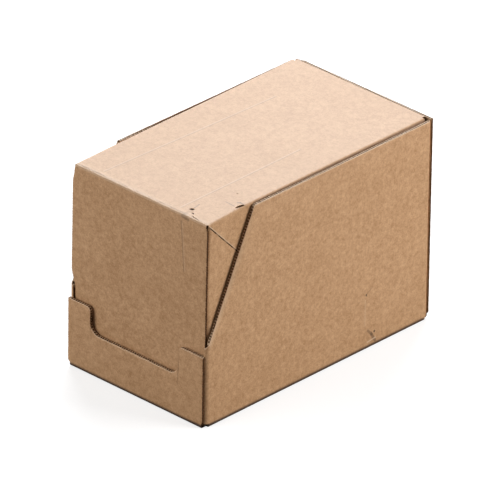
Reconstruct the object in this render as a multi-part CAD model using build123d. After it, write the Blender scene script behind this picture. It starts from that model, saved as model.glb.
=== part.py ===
from build123d import *
import os
from math import sqrt

# A two-piece corrugated shipping carton: a tray with a tall back, side walls cut away on the
# slant at the front and a low front wall with a dip, and a hood lid that slides down inside it.
# Each piece is folded from one die-cut sheet of corrugated board.
# +Z is up, the front faces -Y, and the origin is the middle of the face that it stands on.

# Carton
length = 300.0
width = 174.0
height = 208.0

# Corrugated board: two liners with a fluted sheet between them
board = 3.0
liner = 0.35
flute_pitch = 6.4
flute_web = 0.6
mouth_depth = 2.5

# Folds and glued corners
fold_inner = 0.5
flap = 1.8
glue_line = 0.2
corner_nick = 2.5
edge_round = 1.0

# Tray walls
end_wall_inset = 2.5
side_drop = 1.0
slant_foot = 72.0
slant_run = 63.0
slant_round = 6.0
shoulder_left = 70.0
shoulder_right = 73.5
dip_height = 43.5
dip_width = 111.5
dip_offset = -2.2
dip_round = 11.0
shoulder_round = 5.0
front_flap_width = 26.0
front_flap_drop = 1.5
back_flap_width = 42.0
back_flap_drop = 6.0

# Lid
lid_side_gap = 0.5
lid_front_gap = 0.4
lid_back_gap = 0.4
lid_seat_gap = 0.3
lid_flap_width = 29.0

# Cut crease that lets each lid side fold inwards, at 45 degrees from the top front corner
crease_cut = 12.0
crease_bridge = 5.0
crease_width = 0.7
crease_depth = 1.4

# Wear on the lid's top, near its front right corner
thumb_slot_reach = 44.0
thumb_slot_span = 9.0
thumb_slot_width = 1.3
puncture_across = 31.0
puncture_back = 10.5
puncture_length = 3.6
puncture_width = 1.8
tear_across = 16.0
tear_back = 3.6
tear_length = 12.0
tear_width = 0.7

# Faces and folds that follow from the sizes above
half_width = width / 2
half_length = length / 2
end_half_width = half_width - end_wall_inset
fold_outer = fold_inner + board
fold_middle = fold_inner + board / 2
side_top = height - side_drop
end_inner = half_length - board
corner_start = end_inner - glue_line - fold_outer
slant_top_y = -half_length + slant_run
slant_slope = (side_top - slant_foot) / slant_run
lid_half_width = half_width - board - lid_side_gap
lid_front = end_inner - flap - lid_front_gap
lid_front_inner = lid_front - board
lid_corner_start = lid_front_inner - glue_line - fold_outer
lid_back = end_inner - lid_back_gap
lid_side_back = corner_start - lid_side_gap
lid_foot = board + lid_seat_gap
lid_fold_foot = height - fold_outer


def bent_section(points):
    """Face of a sheet that follows the points along its middle, with a round bend at each corner."""
    return trace(FilletPolyline(*points, radius=fold_middle), line_width=board)


def corner_fold(half_across, end_face):
    """Plan of the fold from a side wall to its glue flap, in the +X +Y corner."""
    ring = Circle(fold_outer) - Circle(fold_inner)
    quarter = ring & Rectangle(fold_outer, fold_outer, align=(Align.MIN, Align.MIN))
    return Pos(half_across - fold_outer, end_face - glue_line - fold_outer) * quarter


def flap_plan(half_across, end_face, reach):
    """Plan of a glue flap, pressed thinner than the board and lying against its end wall."""
    start = half_across - reach
    run = reach - fold_outer
    return Pos(start, end_face) * Rectangle(run, flap, align=(Align.MIN, Align.MAX))


def upright(plan, foot, top):
    """Plan drawn from above, raised between two heights."""
    return extrude(Pos(0, 0, foot) * plan, amount=top - foot)


def both_sides(solid):
    """The solid and its mirror image on the other side of the carton."""
    return [solid, mirror(solid, about=Plane.YZ)]


def mouths_along(run):
    """Open ends of the flutes along a raw edge: triangles on either side of a zigzag web."""
    half_core = board / 2 - liner
    half_base = (flute_pitch - flute_web) / 2
    rise = half_base * 4 * half_core / flute_pitch
    foot = [(-half_base, -half_core), (half_base, -half_core), (0, rise - half_core)]
    head = [(-half_base, half_core), (half_base, half_core), (0, half_core - rise)]
    count = int(run / flute_pitch)
    first = -(count - 0.5) * flute_pitch / 2
    mouths = []
    for i in range(count):
        along = first + i * flute_pitch
        mouths.append(Pos(along, 0) * make_face(Polyline(*foot, close=True)))
        mouths.append(Pos(along + flute_pitch / 2, 0) * make_face(Polyline(*head, close=True)))
    return mouths


def flute_mouths(middle, along, outward, run):
    """Solids to cut from a raw edge whose middle, direction and outward side are given."""
    plane = Plane(origin=middle, x_dir=along, z_dir=outward)
    return [extrude(plane * mouth, amount=-mouth_depth) for mouth in mouths_along(run)]


def slant_mouths(wall_x):
    """Upright flutes of a side wall where the slanted edge cuts across them."""
    run = slant_run - fold_outer - board
    plane = Plane(origin=(wall_x, slant_top_y - run / 2, 0), x_dir=(0, 1, 0), z_dir=(0, 0, 1))
    lean = slant_slope * flute_pitch / 2
    mouths = []
    for mouth in mouths_along(run):
        solid = extrude(plane * mouth, amount=mouth_depth + 3 * lean)
        edge_height = side_top + (solid.center().Y - slant_top_y) * slant_slope
        mouths.append(Pos(0, 0, edge_height - lean - mouth_depth) * solid)
    return mouths


def above_slant():
    """What the slanted cut takes away from the front of both side walls."""
    spare = 2 * board
    front = -half_length - spare
    outline = FilletPolyline(
        (front, slant_foot),
        (-half_length, slant_foot),
        (slant_top_y, side_top),
        (slant_top_y, height + spare),
        radius=[slant_round, edge_round],
    )
    outline += Polyline((slant_top_y, height + spare), (front, height + spare), (front, slant_foot))
    return extrude(Plane.YZ * make_face(outline), amount=width, both=True)


def tray_sides():
    """Side walls and floor bent from one strip, with their folds round to the glue flaps."""
    wall_x = half_width - board / 2
    strip = bent_section([(-wall_x, side_top), (-wall_x, board / 2), (wall_x, board / 2), (wall_x, side_top)])
    sides = extrude(Plane.XZ * strip, amount=corner_start, both=True)
    back_fold = upright(corner_fold(half_width, end_inner), fold_outer, side_top)
    sides += both_sides(back_fold)
    sides += both_sides(mirror(back_fold, about=Plane.XZ))
    sides -= above_slant()
    back_flap = upright(flap_plan(half_width, end_inner, back_flap_width), fold_outer, side_top - back_flap_drop)
    front_top = min(shoulder_left, shoulder_right) - front_flap_drop
    front_flap = upright(flap_plan(half_width, end_inner, front_flap_width), fold_outer, front_top)
    sides += both_sides(back_flap)
    return sides + both_sides(mirror(front_flap, about=Plane.XZ))


def front_wall():
    """Low front wall with its dip, shoulders and nicked lower corners."""
    dip_left = dip_offset - dip_width / 2
    dip_right = dip_offset + dip_width / 2
    inner = half_width - fold_outer
    outline = FilletPolyline(
        (-inner, fold_outer),
        (-end_half_width, fold_outer + corner_nick),
        (-end_half_width, shoulder_left),
        (dip_left, shoulder_left),
        (dip_left, dip_height),
        (dip_right, dip_height),
        (dip_right, shoulder_right),
        (end_half_width, shoulder_right),
        (end_half_width, fold_outer + corner_nick),
        (inner, fold_outer),
        radius=[
            edge_round,
            edge_round,
            shoulder_round,
            dip_round,
            dip_round,
            shoulder_round,
            edge_round,
            edge_round,
        ],
    )
    outline += Line((inner, fold_outer), (-inner, fold_outer))
    return extrude(Plane.XZ.offset(end_inner) * make_face(outline), amount=board)


def back_wall():
    """Full-height back wall with nicked lower corners."""
    inner = half_width - fold_outer
    outline = Polyline(
        (-inner, fold_outer),
        (-end_half_width, fold_outer + corner_nick),
        (-end_half_width, height),
        (end_half_width, height),
        (end_half_width, fold_outer + corner_nick),
        (inner, fold_outer),
        close=True,
    )
    return extrude(Plane.XZ.offset(-half_length) * make_face(outline), amount=board)


def tray_ends():
    """Front and back walls with their folds up from the floor."""
    wall_y = half_length - board / 2
    rise = fold_outer + corner_nick
    strip = bent_section([(-wall_y, rise), (-wall_y, board / 2), (wall_y, board / 2), (wall_y, rise)])
    folds = extrude(Plane.YZ * strip, amount=half_width - fold_outer, both=True)
    return folds + front_wall() + back_wall()


def tray_mouths():
    """Open flutes on the tray's raw edges."""
    wall_x = half_width - board / 2
    wall_y = half_length - board / 2
    top_run = corner_start - slant_top_y
    top_middle = (corner_start + slant_top_y) / 2
    across = (0, 1, 0)
    up = (0, 0, 1)
    mouths = []
    for side in (-1, 1):
        outward = (side, 0, 0)
        shoulder = shoulder_right if side > 0 else shoulder_left
        front_middle = (side * end_half_width, -wall_y, (shoulder + fold_outer) / 2)
        back_middle = (side * end_half_width, wall_y, (height + fold_outer) / 2)
        mouths += flute_mouths((side * wall_x, top_middle, side_top), across, up, top_run)
        mouths += flute_mouths(front_middle, up, outward, shoulder - fold_outer - 2 * corner_nick)
        mouths += flute_mouths(back_middle, up, outward, height - fold_outer - 2 * corner_nick)
        mouths += slant_mouths(side * wall_x)
    return mouths


def tray():
    """The tray: floor, four walls and four glued corner flaps, folded from one sheet."""
    return tray_sides() + tray_ends() - tray_mouths()


def lid_panels():
    """Top and side panels bent from one strip, and the front panel with its fold."""
    side_x = lid_half_width - board / 2
    front_y = -lid_front + board / 2
    top_z = height - board / 2
    strip = bent_section([(-side_x, lid_foot), (-side_x, top_z), (side_x, top_z), (side_x, lid_foot)])
    run = lid_side_back + lid_corner_start
    hood = extrude(Plane.XZ.offset(lid_corner_start) * strip, amount=-run)
    fold_strip = bent_section([(front_y, lid_fold_foot - corner_nick), (front_y, top_z), (lid_back, top_z)])
    hood += extrude(Plane.YZ * fold_strip, amount=lid_half_width - fold_outer, both=True)
    front = Pos(0, -lid_front, lid_foot) * Box(
        2 * lid_half_width,
        board,
        lid_fold_foot - lid_foot,
        align=(Align.CENTER, Align.MIN, Align.MIN),
    )
    return hood + front


def lid_flaps():
    """Folds and glue flaps behind the lid's front panel."""
    top = lid_fold_foot
    fold = upright(corner_fold(lid_half_width, lid_front_inner), lid_foot, top)
    leaf = upright(flap_plan(lid_half_width, lid_front_inner, lid_flap_width), lid_foot, top - corner_nick)
    return both_sides(mirror(fold + leaf, about=Plane.XZ))


def crease_cuts():
    """Dashes cut into the outer liner of each lid side, down and back from the top front corner."""
    step = (crease_cut + crease_bridge) / sqrt(2)
    reach = lid_fold_foot - lid_foot - crease_cut
    cut = Rot(45, 0, 0) * Box(2 * crease_depth, crease_cut, crease_width)
    cuts = []
    for i in range(int(reach / step)):
        along = fold_outer + (i + 0.5) * step
        place = Pos(lid_half_width, -lid_corner_start + along, lid_fold_foot - along)
        cuts += both_sides(place * Rot(-90, 0, 0) * cut)
    return cuts


def lid_wear():
    """Crescent slot on the side fold, a puncture and a short tear in the lid's top."""
    crescent_ring = Circle(thumb_slot_span) - Circle(thumb_slot_span - thumb_slot_width)
    crescent = crescent_ring & Pos(-thumb_slot_span, 0) * Rectangle(thumb_slot_span, thumb_slot_span)
    slot_x = lid_half_width - fold_outer + thumb_slot_span - thumb_slot_width
    slot = Pos(slot_x, -lid_front + thumb_slot_reach, height) * crescent
    hole = SlotOverall(puncture_length, puncture_width, rotation=20)
    hole = Pos(lid_half_width - puncture_across, -lid_front + puncture_back, height) * hole
    tear = SlotOverall(tear_length, tear_width, rotation=-12)
    tear = Pos(lid_half_width - tear_across, -lid_front + tear_back, height) * tear
    return [extrude(mark, amount=-board, both=True) for mark in (slot, hole, tear)]


def lid_mouths():
    """Open flutes on the upright raw edges of the lid's front panel and on its sides' lower edges."""
    up = (0, 0, 1)
    across = (0, 1, 0)
    down = (0, 0, -1)
    front_y = -lid_front + board / 2
    front_z = (lid_fold_foot + lid_foot) / 2
    run = lid_fold_foot - lid_foot - corner_nick
    side_x = lid_half_width - board / 2
    side_run = lid_side_back + lid_corner_start
    side_y = (lid_side_back - lid_corner_start) / 2
    mouths = []
    for side in (-1, 1):
        mouths += flute_mouths((side * lid_half_width, front_y, front_z), up, (side, 0, 0), run)
        mouths += flute_mouths((side * side_x, side_y, lid_foot), across, down, side_run)
    return mouths


def lid():
    """The lid: top, front and two side panels with two glued flaps, folded from one sheet."""
    return lid_panels() + lid_flaps() - lid_mouths() - crease_cuts() - lid_wear()


os.makedirs("parts", exist_ok=True)
for name, piece in (("tray", tray()), ("lid", lid())):
    box = piece.bounding_box()
    print(name, len(piece.solids()), "solid,", round(piece.volume), "mm3,", box.min, box.max)
    export_step(piece, f"parts/{name}.step")
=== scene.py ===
# %% [markdown]
# # A corrugated carton with a lid
# The carton is two folded sheets: a tray that stands on the floor and a lid that slides down inside it.
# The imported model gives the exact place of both. This script dresses them: every sheet becomes real
# corrugated board, with an outer liner, an inner liner and a fluted sheet between them, because the cut
# edges of the board are what the eye looks for on a carton.

# %% Load the fixed frame
import math

import bpy
import numpy as np
from mathutils import Matrix, Vector


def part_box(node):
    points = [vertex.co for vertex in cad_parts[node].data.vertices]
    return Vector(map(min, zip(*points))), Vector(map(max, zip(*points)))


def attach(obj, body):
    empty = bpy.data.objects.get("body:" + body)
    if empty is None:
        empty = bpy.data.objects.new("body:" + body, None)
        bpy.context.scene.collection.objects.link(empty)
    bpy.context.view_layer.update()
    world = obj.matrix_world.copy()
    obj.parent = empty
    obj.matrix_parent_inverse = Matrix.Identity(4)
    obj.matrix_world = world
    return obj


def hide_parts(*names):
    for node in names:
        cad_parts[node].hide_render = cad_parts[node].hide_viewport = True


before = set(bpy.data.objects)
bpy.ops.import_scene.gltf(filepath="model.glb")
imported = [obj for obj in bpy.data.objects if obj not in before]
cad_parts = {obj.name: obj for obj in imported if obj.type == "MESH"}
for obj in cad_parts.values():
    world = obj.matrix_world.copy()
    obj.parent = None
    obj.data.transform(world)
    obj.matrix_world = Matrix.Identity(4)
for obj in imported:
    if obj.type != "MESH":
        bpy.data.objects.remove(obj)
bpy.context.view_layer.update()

# %% [markdown]
# ## Sizes
# The outer sizes are read from the frame, so the dressing always fits it. The board's own sizes are
# those of common single-wall board: 3 mm thick, with a flute every 6.4 mm. All lengths are in metres.

# %% Sizes from the frame and of the board
MM = 0.001
tray_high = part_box("tray")[1]
lid_low, lid_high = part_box("lid")
half_width = tray_high[0]
half_length = tray_high[1]
height = tray_high[2]
board = 3.0 * MM
liner = 0.32 * MM
web = 0.28 * MM
flute_pitch = 6.4 * MM
fold_inner = 0.5 * MM
fold_outer = fold_inner + board
fold_middle = fold_inner + board / 2
flap_thickness = 1.8 * MM
glue_line = 0.2 * MM
end_inner = half_length - board
corner_start = end_inner - glue_line - fold_outer
side_top = height - 1.0 * MM
end_half_width = half_width - 2.5 * MM
back_half_width = half_width - 0.8 * MM
front_left = half_width - 0.4 * MM

# A cut edge: how far in and how deep it is crushed, how wide it looks pale, and its thinnest rim
crush_reach = 0.9 * MM
crush_depth = 0.35 * MM
edge_band = 0.9 * MM
rim_least = 0.3
crush_rows = crush_reach * np.array([0.25, 0.55, 1.0])
print("flutes along the carton:", round(2 * half_length / flute_pitch))

# %% [markdown]
# ## A path with its outward side
# A folded sheet seen end-on is a path of straight runs and round bends. Each sample of the path keeps
# the direction that points out of the carton, so a layer of the board is the path pushed along it.

# %% Runs, bends and joined paths


def run(start, end, count, cut_first=False, cut_last=False):
    """Straight run: points at equal steps, with more of them close to an end that is a cut edge."""
    start, end = np.array(start, float), np.array(end, float)
    near = crush_rows / np.linalg.norm(end - start)
    extra = np.concatenate([near if cut_first else [], 1 - near if cut_last else []])
    step = np.unique(np.concatenate([np.linspace(0, 1, count), extra]))[:, None]
    heading = (end - start) / np.linalg.norm(end - start)
    outward = np.tile([heading[1], -heading[0]], (len(step), 1))
    return start + (end - start) * step, outward


def bend(centre, first, last, count=9, radius=fold_middle, power=5.0):
    """Bend whose points and outward vectors are (cosine, sine) over the power-norm of the two.

    A power of 2 is a round bend. A higher one pushes the middle of the bend out, as a sharp crease does.
    """
    angle = np.radians(np.linspace(first, last, count))
    outward = np.stack([np.cos(angle), np.sin(angle)], axis=1)
    outward /= (np.abs(outward) ** power).sum(axis=1, keepdims=True) ** (1 / power)
    return np.array(centre) + radius * outward, outward


def join(*parts):
    """Parts end to end, each without the first point that it shares with the part before it."""
    points = np.concatenate([parts[0][0]] + [part[0][1:] for part in parts[1:]])
    outward = np.concatenate([parts[0][1]] + [part[1][1:] for part in parts[1:]])
    return points, outward


def travelled(points):
    """Distance along a path at each of its points: the running sum of its steps."""
    steps = np.linalg.norm(np.diff(points, axis=0), axis=-1)
    return np.concatenate([np.zeros_like(steps[:1]), np.cumsum(steps, axis=0)])


# %% [markdown]
# ## Slow unevenness
# No panel of a used carton is flat. A sum of a few long waves moves every point by a fraction of a
# millimetre, the same for both sheets, so they stay clear of each other. Each panel also bows in a little.

# %% Bow and waviness
bow_depth = 0.7 * MM
bow_from = 0.75
bow_fade = 0.2
wave_depth = 0.22 * MM
wave_rows = np.array([[31.0, 12.0, 21.0], [-17.0, 38.0, 9.0], [24.0, -29.0, 33.0], [8.0, 51.0, -42.0]])
wave_starts = np.array([0.4, 1.9, 3.1, 5.2])


def settle(points):
    """Bows each panel inwards by a depth plus the mean sine of (wave row . point + start), not the floor."""
    waves = np.sin(points @ wave_rows.T + wave_starts).sum(axis=-1) / len(wave_starts)
    span = np.array([half_width, half_length, height / 2])
    share = (points - [0, 0, height / 2]) / span
    rise = np.clip(1 - share**2, 0, 1)
    inward = -np.sign(share) * np.clip((np.abs(share) - bow_from) / bow_fade, 0, 1)
    rise_x, rise_y, rise_z = (rise[..., i] for i in range(3))
    others = np.stack([rise_y * rise_z, rise_x * rise_z, rise_x * rise_y], axis=-1)
    above_floor = np.where(points[..., 2:3] < 2 * board, 0.0, 1.0)
    return points + inward * others * above_floor * (bow_depth + wave_depth * waves[..., None])


# %% [markdown]
# ## Layers of board
# One patch of board is a grid of points on its middle, the outward direction at each, and two
# distances: `across` the flutes and `along` them. The liners are the grid pushed out and in. The fluted
# sheet is the grid pushed by a sine of `across`. The two distances also become the piece's UV map,
# so that the flute marks follow every fold.

# %% Patches of board and their layers


class Sheet:
    """Layers of one folded sheet. A slab is (outer grid, inner grid, uv, glued sides, edge, place)."""

    def __init__(self, name):
        self.name = name
        self.layers = {"outer_liner": [], "flutes": [], "inner_liner": []}

    def add(self, middle, outward, across, along, thickness=board, cut=1.0, paled=None, places=0.0,
            layers=None, skip=1):
        """Adds a patch: liners at plus and minus half the thickness, and a sine web between them.

        Near a cut edge the outer liner is tucked in by crush_depth times (1 - distance / reach) squared,
        as the knife leaves it. The flutes there are pressed into a rim that is thickest between teeth.
        `paled` is the distance to an edge that looks pale, where that is not simply `cut`. `places` runs
        along the cut. The inner layers keep one column in `skip`, as only their cut edges are seen.
        """
        shape = across.shape
        half = np.broadcast_to(np.asarray(thickness) / 2, shape)[..., None]
        near = np.broadcast_to(np.clip(1 - np.asarray(cut) / crush_reach, 0, 1), shape)[..., None]
        places = np.broadcast_to(places, shape)
        teeth = tooth_wave(places)[..., None]
        tuck = crush_depth * near**2
        pressed = near * (rim_least + (1 - rim_least) * teeth)
        room = half - liner - web / 2
        wave = room * (1 - pressed) * np.sin(2 * np.pi * across / flute_pitch)[..., None] - tuck / 2
        thick = web / 2 + (room - tuck / 2) * pressed
        heights = {
            "outer_liner": (half - tuck, half - tuck - liner, (0.0, 1.0)),
            "flutes": (wave + thick, wave - thick, (1.0, 1.0)),
            "inner_liner": (liner - half, -half, (1.0, 0.0)),
        }
        uv = np.stack([across, along], axis=-1)
        paled = np.asarray(cut if paled is None else paled)
        edge = np.broadcast_to(np.clip((edge_band - paled) / (edge_band / 2), 0, 1), shape)
        columns = np.arange(shape[1])
        for layer in layers or heights:
            upper, lower, glued = heights[layer]
            kept = columns if layer == "outer_liner" else np.union1d(columns[::skip], columns[-1:])
            grids = (middle + outward * upper, middle + outward * lower, uv)
            marks = (edge[:, kept], places[:, kept])
            self.layers[layer].append((*(grid[:, kept] for grid in grids), glued, *marks))


def slab_faces(rows, columns):
    """Faces of a closed slab: one grid, the other grid turned over, and four rims between them."""
    index = np.arange(rows * columns).reshape(rows, columns)
    quads = np.stack([index[:-1, :-1], index[1:, :-1], index[1:, 1:], index[:-1, 1:]], -1).reshape(-1, 4)
    border = np.concatenate([index[0, :-1], index[:-1, -1], index[-1, :0:-1], index[:0:-1, 0]])
    following = np.roll(border, -1)
    below = rows * columns
    rims = np.stack([border, following, following + below, border + below], axis=-1)
    return np.concatenate([quads, quads[:, ::-1] + below, rims])


def signed_volume(points, faces):
    """Volume of a closed shell: the sum over its faces of corner . (corner x corner) / 6."""
    a, b, c, d = (points[faces[:, i]] for i in range(4))
    first = np.einsum("ij,ij->i", a, np.cross(b, c)).sum()
    second = np.einsum("ij,ij->i", a, np.cross(c, d)).sum()
    return (first + second) / 6


def make_mesh(name, points, faces, uv, glued, edge, place):
    """Blender mesh object from arrays, with a UV map and marks: glued side, cut edge, place along it."""
    mesh = bpy.data.meshes.new(name)
    mesh.from_pydata(points.tolist(), [], faces.tolist())
    mesh.polygons.foreach_set("use_smooth", np.ones(len(mesh.polygons), bool))
    corner_vertex = np.empty(len(mesh.loops), np.int32)
    mesh.loops.foreach_get("vertex_index", corner_vertex)
    layer = mesh.uv_layers.new(name="blank")
    layer.data.foreach_set("uv", uv[corner_vertex].astype(np.float32).ravel())
    for mark, values in (("glued", glued), ("edge", edge), ("place", place)):
        mesh.attributes.new(mark, "FLOAT", "POINT").data.foreach_set("value", values.astype(np.float32))
    mesh.set_sharp_from_angle(angle=math.radians(42))
    thing = bpy.data.objects.new(name, mesh)
    bpy.context.collection.objects.link(thing)
    return thing


def slab_piece(name, slabs, relax):
    """One object from closed slabs, relaxed by a function and each turned so that its faces point out."""
    points, faces, uvs, marks, edges, spots, offset = [], [], [], [], [], [], 0
    for upper, lower, uv, glued, edge, places in slabs:
        rows, columns = upper.shape[:2]
        block = relax(np.concatenate([upper.reshape(-1, 3), lower.reshape(-1, 3)]))
        quads = slab_faces(rows, columns)
        if signed_volume(block, quads) < 0:
            quads = quads[:, ::-1]
        points.append(block)
        faces.append(quads + offset)
        uvs.append(np.tile(uv.reshape(-1, 2), (2, 1)))
        marks.append(np.repeat(glued, rows * columns))
        edges.append(np.tile(edge.ravel(), 2))
        spots.append(np.tile(places.ravel(), 2))
        offset += len(block)
    return make_mesh(name, *(np.concatenate(part) for part in (points, faces, uvs, marks, edges, spots)))


# %% [markdown]
# ## Cut edges
# The board is cut by a knife with small teeth, which leaves a fine zigzag, and the cut line wanders a
# little between them. Both only ever shorten a panel, which keeps it inside its true size.

# %% Teeth and wander of a cut edge
tooth_pitch = 2.7 * MM
tooth_depth = 0.45 * MM
cut_wander = 0.3 * MM
slice_step = tooth_pitch / 3
wall_step = 5.0 * MM


def tooth_wave(places):
    """Triangle wave of the knife's teeth: 1 where a tooth has gone deepest, 0 half a tooth further on."""
    return np.abs(2 * ((places / tooth_pitch) % 1) - 1)


def cut_back(places, start):
    """How far a cut falls short at each place: the teeth's wave plus a slow mix of sines."""
    mix = np.sin(places * 310 + start) + np.sin(places * 730 + 2 * start) + np.sin(places * 1290 + 3 * start)
    return tooth_depth * tooth_wave(places) + cut_wander * (mix + 3) / 6


def slices(first, last, step=slice_step):
    """Places from first to last at about the given step."""
    return np.linspace(first, last, max(2, round((last - first) / step) + 1))


def smooth(value):
    """Smooth step of a value held between 0 and 1: 3 v^2 - 2 v^3."""
    held = np.clip(value, 0, 1)
    return held * held * (3 - 2 * held)


# %% [markdown]
# ## The tray's sides and floor
# Side wall, floor and side wall are one strip, bent up at two long folds. The flutes run along the
# strip, so they stand upright in the walls. At the front each wall is cut on the slant, which here is
# simply a lower top for each slice of the strip. The left wall also sinks towards the back, where the
# lid's fold has pushed its edge down.

# %% Tops of the side walls
slant_foot = 72.0 * MM
slant_run = 63.0 * MM
slant_top_y = -half_length + slant_run
slant_slope = (side_top - slant_foot) / slant_run
left_rise = 1.0 * MM
left_pressed = {"outer_liner": 0.4 * MM, "flutes": 3.6 * MM, "inner_liner": 3.9 * MM}
left_sunk_by = 233 * MM


def wall_top(y, side=1, pressed=0.0):
    """Top of a side wall: the slant's line held at the wall's height, less what is pressed on the left."""
    sunk = pressed * np.clip((y - slant_top_y) / left_sunk_by, 0, 1) ** 0.8 - left_rise
    held = side_top - np.where(np.asarray(side) < 0, sunk, 0)
    return np.clip(side_top + (y - slant_top_y) * slant_slope, slant_foot, held)


# %% Tray strip


def trough_path(top, half_across):
    """Path down the left wall, round its fold, over the floor and up the right wall, to the given top."""
    mid = half_across - board / 2
    centre = half_across - fold_outer
    return join(
        run((-mid, top), (-mid, fold_outer), 9, cut_first=True),
        bend((-centre, fold_outer), 180, 270, 7),
        run((-centre, board / 2), (centre, board / 2), 6),
        bend((centre, fold_outer), 270, 360, 7),
        run((mid, fold_outer), (mid, top), 9, cut_last=True),
    )


tray = Sheet("tray")
tray_y = slices(-corner_start, corner_start)
tray_cut = travelled(np.stack([tray_y, wall_top(tray_y)], axis=-1))
trough, trough_out = trough_path(side_top, half_width)
level = np.clip((trough[:, 1:] - fold_outer) / (side_top - fold_outer), 0, 1)
for layer, pressed in left_pressed.items():
    tops = wall_top(tray_y, trough[:, :1], pressed) - cut_back(tray_y, 0.7)
    strip_z = np.where(level > 0, fold_outer + level * (tops - fold_outer), trough[:, 1:])
    strip_y = np.broadcast_to(tray_y, strip_z.shape)
    strip = np.stack([np.broadcast_to(trough[:, :1], strip_z.shape), strip_y, strip_z], axis=-1)
    strip_out = np.stack([trough_out[:, 0], 0 * level[:, 0], trough_out[:, 1]], axis=-1)[:, None]
    strip_cut = np.where(level > 0, tops - strip_z, 1.0)
    tray.add(strip, np.broadcast_to(strip_out, strip.shape), strip_y, travelled(strip), cut=strip_cut,
             places=tray_cut, layers=(layer,), skip=2)
print("tray strip grid", strip.shape)

# %% [markdown]
# ## Glue flaps
# Each side wall goes on round an upright fold and ends in a flap that is glued behind an end wall.
# The fold is loose and round, and the flap is pressed to about half the board's thickness.

# %% A fold with its flap
flap_press = 3.0 * MM
flap_air = 0.02 * MM
flap_step = 0.5 * MM
flap_rows = 24


def flap_patch(sheet, side, end, half_across, end_face, reach, foot, fold_top, flap_top, phase):
    """Path in plan round one corner, raised from foot to fold_top on the fold and flap_top on the flap."""
    centre = np.array([half_across - fold_outer, end_face - glue_line - fold_outer])
    leaf_y = centre[1] + fold_middle
    leaf = run((centre[0], leaf_y), (half_across - reach, leaf_y), round(reach / slice_step))
    path, outward = join(bend(centre, 0, 90, 13, power=2.0), leaf)
    gone = travelled(path)
    turned = fold_middle * math.pi / 2
    pressed = np.clip((gone - turned) / flap_press, 0, 1)
    thickness = board + (flap_thickness - board) * pressed
    face = centre[1] + fold_outer + pressed * (glue_line - flap_air)
    path[:, 1] = np.where(pressed > 0, face - thickness / 2, path[:, 1])
    heights = np.where(gone > turned + flap_step, flap_top, fold_top(end * path[:, 1])) - cut_back(gone, phase)
    near = 1 - crush_rows / (flap_top - foot)
    share = np.unique(np.concatenate([np.linspace(0, 1, flap_rows), near]))[:, None]
    z = foot + share * (heights - foot)
    x = np.broadcast_to(side * path[:, 0], z.shape)
    y = np.broadcast_to(end * path[:, 1], z.shape)
    middle = np.stack([x, y, z], axis=-1)
    out = np.broadcast_to(np.stack([side * outward[:, 0], end * outward[:, 1], 0 * gone], -1), middle.shape)
    sheet.add(middle, out, np.broadcast_to(gone, z.shape), z, thickness, cut=heights - z, places=gone, skip=2)


front_flap_reach = 26 * MM
back_flap_reach = 42 * MM
front_flap_top = 68.5 * MM
back_flap_top = side_top - 6.0 * MM
for side in (-1, 1):
    for end, reach, flap_top in ((-1, front_flap_reach, front_flap_top), (1, back_flap_reach, back_flap_top)):
        fold_top = (lambda y, side=side: wall_top(y, side, left_pressed["flutes"]))
        flap_patch(tray, side, end, half_width, end_inner, reach, fold_outer, fold_top, flap_top,
                   1.1 * side + end)
print("tray patches", len(tray.layers["flutes"]))

# %% [markdown]
# ## End walls
# The front wall is low, with two shoulders and a dip between them. Its outline is walked once from
# shoulder to shoulder, and every point of the outline is joined to a point on the wall's lower edge.
# The flutes lie flat in the end walls, so their open ends show on the upright cut edges.

# %% Outline of the front wall
shoulder_left = 70.0 * MM
shoulder_right = 73.5 * MM
dip_height = 43.5 * MM
dip_left = -57.95 * MM
dip_right = 53.55 * MM
dip_round = 11.0 * MM
shoulder_round = 5.0 * MM
corner_nick = 2.5 * MM

# How evenly the wall's columns meet its lower edge: 0 straight below the outline, 1 evenly spaced
spread = 0.3


def arc(centre, radius, first, last, count=12):
    """Points of an arc: centre plus radius times (cosine, sine) of the angle."""
    return bend(centre, first, last, count, radius, power=2.0)[0]


def level_line(first, last):
    """Straight run of outline points at half a tooth."""
    length = math.dist(first, last)
    return run(first, last, max(3, round(length / (tooth_pitch / 2)) + 1))[0]


def dip_outline():
    """Top of the front wall: shoulder, convex corner, wall of the dip, concave corner, floor, and back up."""
    left_in, right_in = dip_left - shoulder_round, dip_right + shoulder_round
    low = dip_height + dip_round
    pieces = [
        level_line((-front_left, shoulder_left), (left_in, shoulder_left)),
        arc((left_in, shoulder_left - shoulder_round), shoulder_round, 90, 0, 8),
        level_line((dip_left, shoulder_left - shoulder_round), (dip_left, low)),
        arc((dip_left + dip_round, low), dip_round, 180, 270, 14),
        level_line((dip_left + dip_round, dip_height), (dip_right - dip_round, dip_height)),
        arc((dip_right - dip_round, low), dip_round, 270, 360, 14),
        level_line((dip_right, low), (dip_right, shoulder_right - shoulder_round)),
        arc((right_in, shoulder_right - shoulder_round), shoulder_round, 180, 90, 8),
        level_line((right_in, shoulder_right), (end_half_width, shoulder_right)),
    ]
    return np.concatenate([pieces[0]] + [piece[1:] for piece in pieces[1:]])


def nicked_foot(x, base, wide):
    """Lower edge of an end wall: level at base, rising by corner_nick outside the floor's folds."""
    inner = half_width - fold_outer
    return base + corner_nick * np.clip((np.abs(x) - inner) / (wide - inner), 0, 1)


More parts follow.
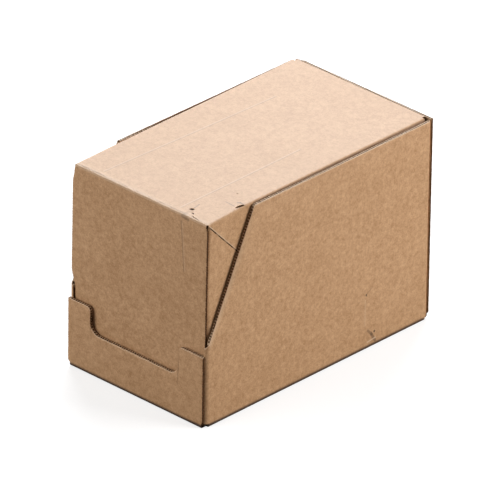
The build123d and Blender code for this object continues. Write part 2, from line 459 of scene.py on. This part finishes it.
def end_wall(sheet, top, end, face, row_step, phase, layers):
    """Ruled patch between the wall's lower edge and its top outline, on an upright plane."""
    gone = travelled(top)
    left_edge, right_edge = top[[0, -1], 0]
    even = left_edge + (right_edge - left_edge) * gone / gone[-1]
    foot_x = (1 - spread) * top[:, 0] + spread * even
    wide = np.where(foot_x < 0, -left_edge, right_edge)
    foot = np.stack([foot_x, nicked_foot(foot_x, fold_outer, wide)], axis=-1)
    slope = np.gradient(top, gone, axis=0)
    normal = np.stack([-slope[:, 1], slope[:, 0]], axis=-1)
    crest = top - normal * cut_back(gone, phase)[:, None]
    tall = top[:, 1].max()
    near = 1 - crush_rows / tall
    share = np.unique(np.concatenate([slices(0, tall, row_step) / tall, near]))[:, None, None]
    flat = foot + share * (crest - foot)
    side_gap = np.minimum(flat[..., 0] - left_edge, right_edge - flat[..., 0])
    ragged = np.clip(1 - side_gap / MM, 0, 1)
    flat[..., 0] -= np.sign(flat[..., 0]) * ragged * cut_back(flat[..., 1], phase + 1)
    crest_gap = (1 - share[..., 0]) * np.linalg.norm(crest - foot, axis=-1)
    cut = np.minimum(crest_gap, side_gap)
    places = np.where(crest_gap < side_gap, gone, flat[..., 1])
    plane = np.full(flat.shape[:2], end * (face - board / 2))
    middle = np.stack([flat[..., 0], plane, flat[..., 1]], axis=-1)
    sheet.add(middle, np.broadcast_to([0.0, float(end), 0.0], middle.shape), flat[..., 1], flat[..., 0],
              cut=cut, paled=crest_gap, places=places, layers=layers)


def with_edges(first, last, step):
    """Places from first to last, with three more close to each of the two cut edges."""
    return np.unique(np.concatenate([slices(first, last, step), first + crush_rows, last - crush_rows]))


# The back wall's left corner is worn down by corner_drop, from drop_start outwards
corner_drop = 1.2 * MM
drop_start = 76 * MM
drop_run = 7 * MM
back_top = with_edges(-back_half_width, back_half_width, tooth_pitch / 2)
back_drop = corner_drop * smooth((-back_top - drop_start) / drop_run)
back_outline = np.stack([back_top, height - back_drop], axis=-1)
row_steps = {"outer_liner": tooth_pitch / 2, "inner_liner": 2 * tooth_pitch, "flutes": flute_pitch / 5}
for end, outline in ((-1, dip_outline()), (1, back_outline)):
    for layer, row_step in row_steps.items():
        end_wall(tray, outline, end, half_length, row_step, 0.2 + end, (layer,))
print("front outline points", len(dip_outline()))

# %% Folds between the floor and the end walls


def end_fold(sheet, end):
    """Fold from the floor up to an end wall, as wide as the floor between the side folds."""
    centre = half_length - fold_outer
    level_part = run((corner_start, board / 2), (centre, board / 2), 5)
    path, outward = join(level_part, bend((centre, fold_outer), 270, 360, 13))
    x = slices(-half_width + fold_outer, half_width - fold_outer, wall_step)
    shape = (len(path), len(x))
    middle = np.stack([np.broadcast_to(x, shape), np.broadcast_to(end * path[:, :1], shape),
                       np.broadcast_to(path[:, 1:], shape)], axis=-1)
    out = np.stack([np.zeros(shape), np.broadcast_to(end * outward[:, :1], shape),
                    np.broadcast_to(outward[:, 1:], shape)], axis=-1)
    gone = np.broadcast_to(travelled(path)[:, None], shape)
    sheet.add(middle, out, gone, middle[..., 0])


end_fold(tray, -1)
end_fold(tray, 1)

# %% [markdown]
# ## The lid
# Side, top and side are again one strip, the other way up. The front panel folds down from the top and
# hides behind the tray's front wall; its glue flaps come round from the sides. The lid has no back
# panel, because the tray's back wall closes it there.

# %% Lid strip
lid_half = lid_high[0]
lid_front = -lid_low[1]
lid_back = lid_high[1]
lid_foot = lid_low[2]
lid_top = lid_high[2]
lid_front_inner = lid_front - board
lid_corner = lid_front_inner - glue_line - fold_outer
lid_side_gap = 0.5 * MM
lid_side_back = corner_start - lid_side_gap
lid_fold_foot = lid_top - fold_outer
corner_hole = 1.3 * MM
lid_flap_reach = 29 * MM
ledge_columns = 120


def crown_path():
    """Path round the right fold, over the top and round the left fold."""
    centre = lid_half - fold_outer
    return join(
        bend((centre, lid_fold_foot), 0, 90, 9, power=6.0),
        run((centre, lid_top - board / 2), (-centre, lid_top - board / 2), 12),
        bend((-centre, lid_fold_foot), 90, 180, 9, power=6.0),
    )


def hood_path():
    """The crown's path with a leg down to the lid's foot on each side."""
    mid = lid_half - board / 2
    right = run((mid, lid_foot), (mid, lid_fold_foot), 12, cut_first=True)
    left = run((-mid, lid_fold_foot), (-mid, lid_foot), 12, cut_last=True)
    return join(right, crown_path(), left)


def swept(path, outward, places):
    """Grid of a path in the XZ plane carried to each place along Y, with its outward directions."""
    shape = (len(path), len(places))
    middle = np.stack([np.broadcast_to(path[:, :1], shape), np.broadcast_to(places, shape),
                       np.broadcast_to(path[:, 1:], shape)], axis=-1)
    out = np.stack([np.broadcast_to(outward[:, :1], shape), np.zeros(shape),
                    np.broadcast_to(outward[:, 1:], shape)], axis=-1)
    return middle, out


lid = Sheet("lid")
for path, places in ((hood_path(), slices(-lid_corner, lid_side_back)),
                     (crown_path(), slices(-lid_front + corner_hole, -lid_corner))):
    middle, out = swept(*path, places)
    down = np.where(np.abs(middle[..., 0]) > lid_half - board, middle[..., 2] - lid_foot, 1.0)
    gone = np.broadcast_to(travelled(path[0])[:, None], down.shape)
    lid.add(middle, out, middle[..., 1], gone, cut=down, skip=2)
    print("lid strip grid", middle.shape)
ledge_half, ledge_z = lid_half - fold_outer, lid_top - board / 2
ledge = run((ledge_half, ledge_z), (-ledge_half, ledge_z), ledge_columns)
ledge_y = with_edges(lid_side_back, lid_back, slice_step)
middle, out = swept(*ledge, ledge_y)
middle[:, -1, 1] -= cut_back(middle[:, -1, 0], 0.3)
lid.add(middle, out, middle[..., 1], middle[..., 0], cut=lid_back - middle[..., 1], places=middle[..., 0])

# %% Lid front panel, its fold and its glue flaps


def lid_front_fold():
    """Fold from the top down to the front panel, out to the small holes at its two corners."""
    path, outward = bend((lid_front - fold_outer, lid_fold_foot), 90, 0, 11, power=6.0)
    x = slices(corner_hole - lid_half, lid_half - corner_hole, 2.5 * MM)
    shape = (len(path), len(x))
    middle = np.stack([np.broadcast_to(x, shape), np.broadcast_to(-path[:, :1], shape),
                       np.broadcast_to(path[:, 1:], shape)], axis=-1)
    out = np.stack([np.zeros(shape), np.broadcast_to(-outward[:, :1], shape),
                    np.broadcast_to(outward[:, 1:], shape)], axis=-1)
    lid.add(middle, out, np.broadcast_to(travelled(path)[:, None], shape), middle[..., 0])


def lid_front_panel():
    """Flat upright panel: rows up its height, columns across, with its two side edges cut ragged."""
    z = slices(lid_foot, lid_fold_foot)[:, None]
    x = with_edges(-lid_half, lid_half, 7 * MM)
    across = x - np.sign(x) * np.clip(1 - (lid_half - np.abs(x)) / MM, 0, 1) * cut_back(z, 0.9)
    middle = np.stack([across, np.full(across.shape, board / 2 - lid_front), z + 0 * across], axis=-1)
    lid.add(middle, np.broadcast_to([0.0, -1.0, 0.0], middle.shape), middle[..., 2], middle[..., 0],
            cut=lid_half - np.abs(x), paled=1.0, places=z)


def lid_fold_top(y):
    """The lid's upright folds all end where its top folds begin."""
    return np.full(np.shape(y), lid_fold_foot)


lid_front_fold()
lid_front_panel()
for side in (-1, 1):
    flap_patch(lid, side, -1, lid_half, lid_front_inner, lid_flap_reach, lid_foot, lid_fold_top,
               lid_fold_foot - corner_nick, 0.5 * side)

# %% [markdown]
# ## The lid's free corner
# In front of the slanted walls nothing holds the lid, so its folds have sprung a little: the front
# panel leans out at the top, and the whole end is racked to the right. Its left side spreads below the
# top. Points move by smooth steps of how far they lie ahead of the slanted edge. The top is also turned
# a little, so that it lies further left towards the back.

# %% Spring of the lid's front
lean_out = 2.8 * MM
rack_low = -1.4 * MM
rack_high = 2.2 * MM
widening = 0.3 * MM
easing = 0.8 * MM
left_spread = 2.1 * MM
left_bulge = 3.4 * MM
right_ease = 1.0 * MM

# Heights where each of these movements begins or ends, and how quickly
free_from, free_run = 78 * MM, 22 * MM
rack_from = 90 * MM
left_spread_until, left_spread_run = 188 * MM, 16 * MM
turn_from, turn_run = 203 * MM, 4.5 * MM


def spring(points):
    """Adds (rack + widening, -lean) times how free a point is: 0 behind the slant, 1 at the front panel.

    Behind the slant the lid is eased inwards instead, which leaves a thin dark gap beside each wall.
    The left side's spread and the top's turn are taken off the shift along X.
    """
    x, y, z = (points[..., i] for i in range(3))
    ahead = slant_top_y + (z - side_top) / slant_slope - y
    side_free = smooth(ahead / (slant_run - fold_outer))
    panel_free = smooth((z - free_from) / free_run)
    free = side_free + (panel_free - side_free) * smooth((-y - lid_corner) / fold_outer)
    rise = np.clip((z - rack_from) / (lid_top - rack_from), 0, 1)
    spread_out = free * widening - (1 - free) * easing
    shift = free * (rack_low + (rack_high - rack_low) * rise) + spread_out * x / lid_half
    leftward = np.clip(-x / lid_half, 0, 1)
    rightward = np.clip(x / lid_half, 0, 1)
    back_share = np.clip((y - slant_top_y) / left_sunk_by, 0, 1)
    shift = shift - leftward * free * left_spread * (1 - smooth((z - left_spread_until) / left_spread_run))
    turned = leftward * left_bulge + rightward * right_ease
    shift = shift - turned * back_share * smooth((z - turn_from) / turn_run)
    lean = -free * lean_out * np.clip((z - shoulder_right) / (lid_top - shoulder_right), 0, 1)
    return points + np.stack([shift, lean, 0 * z], axis=-1)


def lid_relax(points):
    """Slow unevenness after the spring of the free corner."""
    return settle(spring(points))


# %% Make the six pieces of board
pieces = {}
for sheet, relax in ((tray, settle), (lid, lid_relax)):
    for layer, slabs in sheet.layers.items():
        name = f"{sheet.name}_{layer}"
        pieces[name] = slab_piece(name, slabs, relax)
        print(name, 2 * len(pieces[name].data.polygons), "triangles")

# %% [markdown]
# ## Holes and cuts in the lid
# The lid has a thumb slot at its right fold, a puncture and a short tear near its front corner, and a
# dashed cut that lets each side fold inwards. Each is a thin prism that is taken out of the board.

# %% Prisms for the holes


def prism(outline, low, high):
    """Closed prism: an outline in XY repeated at two heights, with a top, a bottom and side faces."""
    count = len(outline)
    rings = [np.column_stack([outline, np.full(count, z)]) for z in (low, high)]
    lower = np.arange(count)
    following = np.roll(lower, -1)
    sides = np.stack([lower, following, following + count, lower + count], axis=-1).tolist()
    return np.concatenate(rings), sides + [lower[::-1].tolist(), (lower + count).tolist()]


def slot_outline(start, end, wide, bow=0.0):
    """Slim lens along a line: offset by half the width times the sine of the way along it, plus a bow."""
    start, end = np.array(start), np.array(end)
    way = np.linspace(0, 1, 15)[:, None]
    side = np.array([[start[1] - end[1], end[0] - start[0]]]) / np.linalg.norm(end - start)
    swell = np.sin(np.pi * np.clip(way, 0.04, 0.96)) ** 0.5
    spine = start + way * (end - start) + side * bow * np.sin(np.pi * way)
    return np.concatenate([spine - side * wide / 2 * swell, (spine + side * wide / 2 * swell)[::-1]])


# Start and end on the lid's top, width and bow, in mm
hole_lines = [
    ((80.2, -105.0), (81.4, -94.6), 3.2, 0.5),
    ((52.2, -135.6), (55.8, -132.6), 3.6, 0.0),
    ((58.6, -139.1), (61.8, -139.9), 1.8, 0.3),
    ((62.0, -142.4), (74.0, -145.2), 0.8, -0.5),
    ((60.9, -84.0), (63.0, -82.9), 1.3, 0.0),
]
holes = [slot_outline(MM * np.array(a), MM * np.array(b), wide * MM, bow * MM)
         for a, b, wide, bow in hole_lines]
holes.append(arc((86.4 * MM, -146.6 * MM), 1.5 * MM, 0, 345, 24))
prisms = [prism(outline, lid_top - 2 * board, lid_top + board) for outline in holes]

# %% Dashed crease on the lid's sides
crease_cut = 12.0 * MM
crease_bridge = 5.0 * MM
crease_width = 0.8 * MM
crease_start = (84.5 * MM, -144.6 * MM, 205.1 * MM)


def crease_dashes(side):
    """Thin boxes along a line that falls at 45 degrees from the lid's top front corner, through one liner."""
    step = (crease_cut + crease_bridge) / math.sqrt(2)
    count = int((lid_fold_foot - lid_foot - crease_cut) / step)
    along = (np.arange(count)[:, None] + 0.5) * step
    centre = np.array(crease_start) * [side, 1, 1] + along * [0, 1, -1]
    run_way = np.array([0, 1, -1]) / math.sqrt(2) * crease_cut / 2
    wide_way = np.array([0, 1, 1]) / math.sqrt(2) * crease_width / 2
    deep_way = np.array([1, 0, 0]) * 1.5 * board
    signs = np.array([[a, b, c] for a in (-1, 1) for b in (-1, 1) for c in (-1, 1)])
    box = signs[:, :1] * run_way + signs[:, 1:2] * wide_way + signs[:, 2:] * deep_way
    faces = [[0, 1, 3, 2], [4, 6, 7, 5], [0, 4, 5, 1], [2, 3, 7, 6], [0, 2, 6, 4], [1, 5, 7, 3]]
    return [(middle + box, faces) for middle in centre]


def knife(name, solids):
    """One mesh object of several closed solids, all marked as cut board."""
    points, faces, offset = [], [], 0
    for corners, sides in solids:
        points.append(corners)
        faces += [[offset + i for i in side] for side in sides]
        offset += len(corners)
    mesh = bpy.data.meshes.new(name)
    mesh.from_pydata(np.concatenate(points).tolist(), [], faces)
    # Every point of a knife has the glued mark, so the walls of the holes it cuts take the inside colour,
    # partly painted shade
    mesh.attributes.new("glued", "FLOAT", "POINT").data.foreach_set("value", np.ones(offset, np.float32))
    mesh.attributes.new("edge", "FLOAT", "POINT")
    mesh.attributes.new("place", "FLOAT", "POINT")
    thing = bpy.data.objects.new(name, mesh)
    bpy.context.collection.objects.link(thing)
    return thing


def take_out(piece, tool):
    """Boolean difference of a piece and a knife, baked into the piece's own mesh."""
    modifier = piece.modifiers.new("holes", "BOOLEAN")
    modifier.object = tool
    modifier.solver = "MANIFOLD"
    modifier.operation = "DIFFERENCE"
    cut_mesh = bpy.data.meshes.new_from_object(piece.evaluated_get(bpy.context.evaluated_depsgraph_get()))
    piece.modifiers.clear()
    old, piece.data = piece.data, cut_mesh
    bpy.data.meshes.remove(old)
    cut_mesh.name = piece.name


hole_knife = knife("hole_knife", prisms)
crease_knife = knife("crease_knife", crease_dashes(-1) + crease_dashes(1))
for layer in ("outer_liner", "flutes", "inner_liner"):
    piece = pieces[f"lid_{layer}"]
    before = len(piece.data.polygons)
    take_out(piece, hole_knife)
    if layer == "outer_liner":
        take_out(piece, crease_knife)
    print(piece.name, before, "->", len(piece.data.polygons), "faces")
for tool in (hole_knife, crease_knife):
    bpy.data.meshes.remove(tool.data)

# %% [markdown]
# ## Kraft paper
# Kraft is brown wood fibre: a mottled tone with fine dark and light fibres. The liner also shows the
# flutes under it as a very slight washboard. All of it is made from noise on the UV map and on object
# coordinates.

# %% Node helpers


def new_material(name):
    """Empty node material with its shader and output."""
    material = bpy.data.materials.new(name)
    material.use_nodes = True
    return material, material.node_tree.nodes, material.node_tree.links


def noise(nodes, links, vector, scale, detail=4.0, roughness=0.6):
    """Noise texture on a vector. Returns its grey output."""
    texture = nodes.new("ShaderNodeTexNoise")
    texture.inputs["Scale"].default_value = scale
    texture.inputs["Detail"].default_value = detail
    texture.inputs["Roughness"].default_value = roughness
    links.new(vector, texture.inputs["Vector"])
    return texture.outputs["Fac"]


def stretch(nodes, links, vector, scale):
    """Vector scaled by three factors."""
    mapping = nodes.new("ShaderNodeMapping")
    mapping.inputs["Scale"].default_value = scale
    links.new(vector, mapping.inputs["Vector"])
    return mapping.outputs["Vector"]


def maths(nodes, links, operation, first, second=0.0, third=0.0):
    """One math node on sockets or numbers."""
    node = nodes.new("ShaderNodeMath")
    node.operation = operation
    for slot, value in enumerate((first, second, third)):
        if isinstance(value, (int, float)):
            node.inputs[slot].default_value = value
        else:
            links.new(value, node.inputs[slot])
    return node.outputs[0]


def ramp(nodes, links, value, low, high, start=0.0, end=1.0):
    """Value rescaled from low..high to start..end and clamped."""
    node = nodes.new("ShaderNodeMapRange")
    for socket, number in (("From Min", low), ("From Max", high), ("To Min", start), ("To Max", end)):
        node.inputs[socket].default_value = number
    links.new(value, node.inputs["Value"])
    return node.outputs["Result"]


def tint(nodes, links, factor, first, second, blend="MIX"):
    """Mix of two colours, each a socket or a colour value, by a factor."""
    node = nodes.new("ShaderNodeMix")
    node.data_type = "RGBA"
    node.blend_type = blend
    for name, value in (("Factor", factor), ("A", first), ("B", second)):
        if isinstance(value, bpy.types.NodeSocket):
            links.new(value, node.inputs[name])
        else:
            node.inputs[name].default_value = value
    return node.outputs["Result"]


# %% Marks on the paper


def segment_mark(nodes, links, place, start, end, reach, soft=0.5):
    """1 on the line from start to end, falling to 0 at reach, by distance to its nearest point."""
    way = np.array(end) - np.array(start)
    offset = nodes.new("ShaderNodeVectorMath")
    offset.operation = "SUBTRACT"
    links.new(place, offset.inputs[0])
    offset.inputs[1].default_value = start
    share = nodes.new("ShaderNodeVectorMath")
    share.operation = "DOT_PRODUCT"
    links.new(offset.outputs[0], share.inputs[0])
    share.inputs[1].default_value = way / (way @ way)
    held = ramp(nodes, links, share.outputs["Value"], 0.0, 1.0)
    nearest = nodes.new("ShaderNodeVectorMath")
    nearest.operation = "SCALE"
    nearest.inputs[0].default_value = way
    links.new(held, nearest.inputs["Scale"])
    gap = nodes.new("ShaderNodeVectorMath")
    gap.operation = "DISTANCE"
    links.new(offset.outputs[0], gap.inputs[0])
    links.new(nearest.outputs[0], gap.inputs[1])
    return ramp(nodes, links, gap.outputs["Value"], reach, reach * soft)


# Marks by the axis that their panel faces: start, end, reach in mm, strength, and dark (0) or pale (1).
# Dark marks are scuffs or painted shade, pale ones scratches or painted highlights, as each says.
tray_wear_and_shade = {
    0: [
        ((87, 63.6, 56.4), (87, 63.6, 57.0), 1.2, 0.90, 0),
        ((87, 64.2, 57.0), (87, 71.4, 61.9), 0.8, 0.25, 0),
        ((87, 62.5, 25.0), (87, 62.5, 52.0), 0.6, 0.35, 1),
        ((87, 66.5, 18.5), (87, 72.0, 13.0), 1.8, 0.45, 0),
        ((87, 71.0, 13.5), (87, 76.0, 5.5), 2.0, 0.50, 0),
        ((87, 75.1, 14.6), (87, 75.1, 15.2), 1.4, 0.90, 0),
        ((87, 66.0, 6.8), (87, 76.6, 8.0), 0.9, 0.60, 1),
        # Painted shade: a dark band along the foot of the right wall, where it meets the floor
        ((87, -151, 0), (87, 140, 0), 4.6, 0.95, 0),
    ],
    # Painted shade: a dark band along the foot of the front wall, where it meets the floor
    1: [((-84, -151, 0), (87, -151, 0), 4.4, 0.95, 0)],
}
lid_wear_shade_and_highlight = {
    0: [
        # Painted shade and painted highlight: the dark and the lit side of the slanting crease, beside its cut
        # dashes
        ((84.5, -144.6, 205.1), (84.5, -102.0, 162.5), 0.9, 0.50, 0),
        ((84.5, -144.0, 205.9), (84.5, -101.4, 163.3), 0.6, 0.45, 1),
        # Painted shade: a dark line for the shadow in the gap between the lid's right fold and the tray wall
        ((83, -84.0, 206.2), (83, 146.0, 206.2), 1.5, 0.55, 0),
    ],
    1: [
        # Painted highlight: a pale line along the ridge of the lid's front fold
        ((-81.0, -148, 207.4), (87.0, -148, 207.4), 1.3, 0.30, 1),
        ((55.0, -148, 206.5), (62.0, -148, 205.5), 2.2, 0.40, 0),
        # Painted shade and painted highlight: the shaded and lit sides of a faint upright crease, which has no
        # relief in the geometry
        ((53.5, -148, 201), (56.0, -148, 150), 1.0, 0.28, 0),
        ((55.0, -148, 201), (57.5, -148, 150), 0.9, 0.16, 1),
    ],
    2: [
        # Painted shade and painted highlight: each dark line with a pale one beside it is one long crease on
        # the top, which has no relief in the geometry
        ((45.0, -139.0, 208), (43.0, 19.0, 208), 0.9, 0.20, 0),
        ((43.9, -139.0, 208), (41.9, 19.0, 208), 0.9, 0.24, 1),
        ((-52.1, -138.0, 208), (-45.0, 79.0, 208), 0.9, 0.20, 0),
        ((-53.2, -138.0, 208), (-46.1, 79.0, 208), 0.9, 0.20, 1),
        ((53.8, -131.0, 208), (52.3, -122.5, 208), 0.8, 0.40, 0),
        ((65.6, -102.3, 208), (76.1, -102.9, 208), 0.8, 0.40, 0),
        ((74.2, -96.1, 208), (76.2, -94.3, 208), 1.0, 0.60, 0),
        ((76.2, -94.3, 208), (79.9, -94.9, 208), 1.0, 0.60, 0),
    ],
}

# %% Kraft paper
# A mark's distance counts this much along its panel's own axis, so that it follows a panel that has moved
mark_flatness = 0.15
rubbed_from, rubbed_to = 206.0 * MM, 207.3 * MM
kraft_dark = (0.380, 0.200, 0.086, 1)
kraft_mid = (0.485, 0.278, 0.138, 1)
kraft_light = (0.600, 0.356, 0.188, 1)
# The board's inside: partly the darker glue and fluting paper, partly painted shade of the flute cells and the
# hole walls
glue_and_painted_shade = (0.42, 0.32, 0.24, 1)
flute_and_painted_shade = (0.20, 0.15, 0.11, 1)
# Pale cut edge: partly the paler cut fibres, partly painted highlight of the liner's crushed lip
edge_pale_and_highlight = (0.640, 0.440, 0.280, 1)
# Colours of the marks: dark for scuffs and for painted shade, pale for scratches and for painted highlights
wear_and_shade_dark = (0.050, 0.024, 0.012, 1)
wear_and_highlight_pale = (0.700, 0.520, 0.360, 1)


def kraft(name, shade=1.0, scuffs_and_painted_light={}, sheen=0.5, inside_and_painted_shade=glue_and_painted_shade, least=0.35):
    """Brown paper: clouds, mottling and thin curled fibres mixed over the middle tone, then scuffs with
    painted shade and painted highlight lines, the inside colour with its painted shade, and a pale cut edge
    that is partly painted highlight.
    """
    material, nodes, links = new_material(name)
    shader = nodes["Principled BSDF"]
    place = nodes.new("ShaderNodeTexCoord").outputs["Object"]
    cloud = ramp(nodes, links, noise(nodes, links, place, 38.0, 3.0), 0.36, 0.64)
    mottle = noise(nodes, links, place, 210.0, 4.0, 0.7)
    grain = noise(nodes, links, place, 620.0, 2.0, 0.7)
    curl = noise(nodes, links, place, 300.0, 1.5, 0.5)
    ridge = maths(nodes, links, "ABSOLUTE", maths(nodes, links, "SUBTRACT", curl, 0.5))
    fibre = ramp(nodes, links, ridge, 0.035, 0.0)
    curl_dark = noise(nodes, links, stretch(nodes, links, place, (1.13, 0.91, 1.07)), 340.0, 1.5, 0.5)
    ridge_dark = maths(nodes, links, "ABSOLUTE", maths(nodes, links, "SUBTRACT", curl_dark, 0.52))
    fibre_dark = ramp(nodes, links, ridge_dark, 0.03, 0.0)
    tone = maths(nodes, links, "MULTIPLY_ADD", grain, 0.55, maths(nodes, links, "MULTIPLY", mottle, 0.75))
    tone = maths(nodes, links, "MULTIPLY_ADD", cloud, 0.06, tone)
    colour = tint(nodes, links, ramp(nodes, links, tone, 0.52, 0.88), kraft_dark, kraft_light)
    colour = tint(nodes, links, maths(nodes, links, "MULTIPLY", fibre, 0.48), colour, kraft_light)
    colour = tint(nodes, links, maths(nodes, links, "MULTIPLY", fibre_dark, 0.40), colour, kraft_dark)
    height_here = nodes.new("ShaderNodeSeparateXYZ")
    links.new(place, height_here.inputs[0])
    rubbed = ramp(nodes, links, height_here.outputs["Z"], rubbed_from, rubbed_to, 0.0, 0.35)
    colour = tint(nodes, links, rubbed, colour, kraft_mid)
    # Scuffs and scratches, and the painted shade and painted highlight lines listed with them
    for axis, lines in scuffs_and_painted_light.items():
        squash = np.where(np.arange(3) == axis, mark_flatness, 1.0)
        squashed = stretch(nodes, links, place, squash)
        for start, end, reach, strength, pale in lines:
            start, end = MM * squash * [start, end]
            mark = segment_mark(nodes, links, squashed, start, end, reach * MM)
            mark = maths(nodes, links, "MULTIPLY", mark, strength)
            colour = tint(nodes, links, mark, colour, wear_and_highlight_pale if pale else wear_and_shade_dark)
    # The inside faces of each layer take the inside colour: partly darker paper and glue, partly painted shade
    # of the flute cells
    glued, edge, spot = (nodes.new("ShaderNodeAttribute") for _ in range(3))
    glued.attribute_name, edge.attribute_name, spot.attribute_name = "glued", "edge", "place"
    inside = tint(nodes, links, 1.0, colour, inside_and_painted_shade, "MULTIPLY")
    colour = tint(nodes, links, glued.outputs["Fac"], colour, inside)
    # The pale band at a cut edge, in ticks at the knife's teeth: partly paler cut fibres, partly painted
    # highlight
    turn = maths(nodes, links, "FRACT", maths(nodes, links, "MULTIPLY", spot.outputs["Fac"], 1 / tooth_pitch))
    tooth = maths(nodes, links, "ABSOLUTE", maths(nodes, links, "MULTIPLY_ADD", turn, 2.0, -1.0))
    tick = ramp(nodes, links, tooth, 0.35, 0.65, least, 1.0)
    colour = tint(nodes, links, maths(nodes, links, "MULTIPLY", edge.outputs["Fac"], tick), colour, edge_pale_and_highlight)
    toned = nodes.new("ShaderNodeVectorMath")
    toned.operation = "SCALE"
    toned.inputs["Scale"].default_value = shade
    links.new(colour, toned.inputs[0])
    links.new(toned.outputs[0], shader.inputs["Base Color"])
    shader.inputs["Roughness"].default_value = 0.6
    shader.inputs["Specular IOR Level"].default_value = sheen
    blank = nodes.new("ShaderNodeUVMap")
    blank.uv_map = "blank"
    across = nodes.new("ShaderNodeSeparateXYZ")
    links.new(blank.outputs["UV"], across.inputs[0])
    turns = maths(nodes, links, "MULTIPLY", across.outputs["X"], 2 * math.pi / flute_pitch)
    washboard = maths(nodes, links, "SINE", turns)
    rough = maths(nodes, links, "MULTIPLY", mottle, 0.5)
    relief = maths(nodes, links, "MULTIPLY_ADD", washboard, 0.06, rough)
    relief = maths(nodes, links, "MULTIPLY_ADD", fibre, 0.25, relief)
    bump = nodes.new("ShaderNodeBump")
    bump.inputs["Strength"].default_value = 0.3
    bump.inputs["Distance"].default_value = 0.10 * MM
    links.new(relief, bump.inputs["Height"])
    links.new(bump.outputs["Normal"], shader.inputs["Normal"])
    return material


papers = {
    "tray_outer_liner": kraft("tray_kraft", scuffs_and_painted_light=tray_wear_and_shade),
    "lid_outer_liner": kraft("lid_kraft", scuffs_and_painted_light=lid_wear_shade_and_highlight),
    "inner_liner": kraft("inner_kraft", shade=0.95, sheen=0.2, least=0.1),
    "flutes": kraft("flute_kraft", shade=0.8, sheen=0.1, inside_and_painted_shade=flute_and_painted_shade, least=0.0),
}
for name, piece in pieces.items():
    paper = papers.get(name) or papers[name.split("_", 1)[1]]
    piece.data.materials.clear()
    piece.data.materials.append(paper)
print("materials", [material.name for material in bpy.data.materials])

# %% [markdown]
# ## Riding and replacing
# Each piece rides on the body of its own sheet, and the six together stand in for the two CAD nodes,
# which stay in the simulation for collision.

# %% Bodies and nodes
for name, piece in pieces.items():
    node = name.split("_")[0]
    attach(piece, node)
    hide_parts(node)

# %% [markdown]
# ## Floor, light and camera
# The carton stands on a pale floor under soft studio light. A long lens far away gives the almost
# parallel edges of the photograph, from its own side and height.

# %% Floor
floor_mesh = bpy.data.meshes.new("floor")
floor_reach = 6.0
floor_corners = [(x * floor_reach, y * floor_reach, 0) for x, y in ((-1, -1), (1, -1), (1, 1), (-1, 1))]
floor_mesh.from_pydata(floor_corners, [], [(0, 1, 2, 3)])
floor = bpy.data.objects.new("floor", floor_mesh)
bpy.context.collection.objects.link(floor)
floor_finish, nodes, links = new_material("pale_floor")
floor_shader = nodes["Principled BSDF"]
rays = nodes.new("ShaderNodeLightPath")
watched = maths(nodes, links, "MAXIMUM", rays.outputs["Is Camera Ray"], rays.outputs["Is Transmission Ray"])
floor_tone = tint(nodes, links, watched, (0.30, 0.29, 0.28, 1), (0.40, 0.40, 0.40, 1))
floor_glow = 0.72
links.new(floor_tone, floor_shader.inputs["Base Color"])
floor_shader.inputs["Emission Color"].default_value = (1, 1, 1, 1)
links.new(maths(nodes, links, "MULTIPLY", watched, floor_glow), floor_shader.inputs["Emission Strength"])
floor_shader.inputs["Roughness"].default_value = 0.9
floor_shader.inputs["Specular IOR Level"].default_value = 0.0
floor_mesh.materials.append(floor_finish)

# %% World: white to the camera, soft grey light to the carton
world = bpy.data.worlds.new("studio")
bpy.context.scene.world = world
world.use_nodes = True
nodes, links = world.node_tree.nodes, world.node_tree.links
background = nodes["Background"]
background.inputs["Color"].default_value = (1, 1, 1, 1)
rays = nodes.new("ShaderNodeLightPath")
seen = maths(nodes, links, "MAXIMUM", rays.outputs["Is Camera Ray"], rays.outputs["Is Transmission Ray"])
fill_level = 0.16
links.new(ramp(nodes, links, seen, 0.0, 1.0, fill_level, 1.0), background.inputs["Strength"])

# %% Soft boxes


def soft_box(name, place, size, power, colour=(1, 1, 1)):
    """Square area lamp at a place, aimed at the middle of the carton."""
    lamp = bpy.data.lights.new(name, "AREA")
    lamp.shape = "SQUARE"
    lamp.size = size
    lamp.energy = power
    lamp.color = colour
    holder = bpy.data.objects.new(name, lamp)
    holder.location = place
    aim = np.array([0.0, 0.0, height / 2]) - np.array(place)
    holder.rotation_mode = "QUATERNION"
    holder.rotation_quaternion = Vector(aim).to_track_quat("-Z", "Y")
    bpy.context.collection.objects.link(holder)


soft_box("side_key", (1.7, 0.95, 0.9), 1.0, 41)
soft_box("top_sheen", (-1.56, 1.69, 1.22), 1.8, 107, (0.96, 1.0, 1.03))
soft_box("front_fill", (-0.9, -2.4, 1.1), 1.6, 43)

# %% Camera at the photograph's viewing angle
azimuth, elevation, roll = (math.radians(angle) for angle in (43.47, 28.28, 0.83))
image_side = 500
focal_pixels = 9836
camera_distance = 9.0
target = np.array([0.0, 0.0, 0.1])
target_shift = (0.58, -5.06)
back = np.array([math.sin(azimuth) * math.cos(elevation),
                 -math.cos(azimuth) * math.cos(elevation),
                 math.sin(elevation)])
level = np.array([math.cos(azimuth), math.sin(azimuth), 0.0])
rise = np.cross(back, level)
right = math.cos(roll) * level + math.sin(roll) * rise
above = math.cos(roll) * rise - math.sin(roll) * level
camera_data = bpy.data.cameras.new("camera")
camera = bpy.data.objects.new("camera", camera_data)
bpy.context.collection.objects.link(camera)
turn = Matrix(np.stack([right, above, back], axis=1).tolist()).to_4x4()
camera.matrix_world = Matrix.Translation((target + back * camera_distance).tolist()) @ turn
camera_data.sensor_width = 36.0
camera_data.lens = focal_pixels * camera_data.sensor_width / image_side
camera_data.shift_x = -target_shift[0] / image_side
camera_data.shift_y = target_shift[1] / image_side
camera_data.clip_end = 100.0
bpy.context.scene.camera = camera
bpy.context.scene.view_settings.view_transform = "Standard"
print("lens", round(camera_data.lens), "mm")
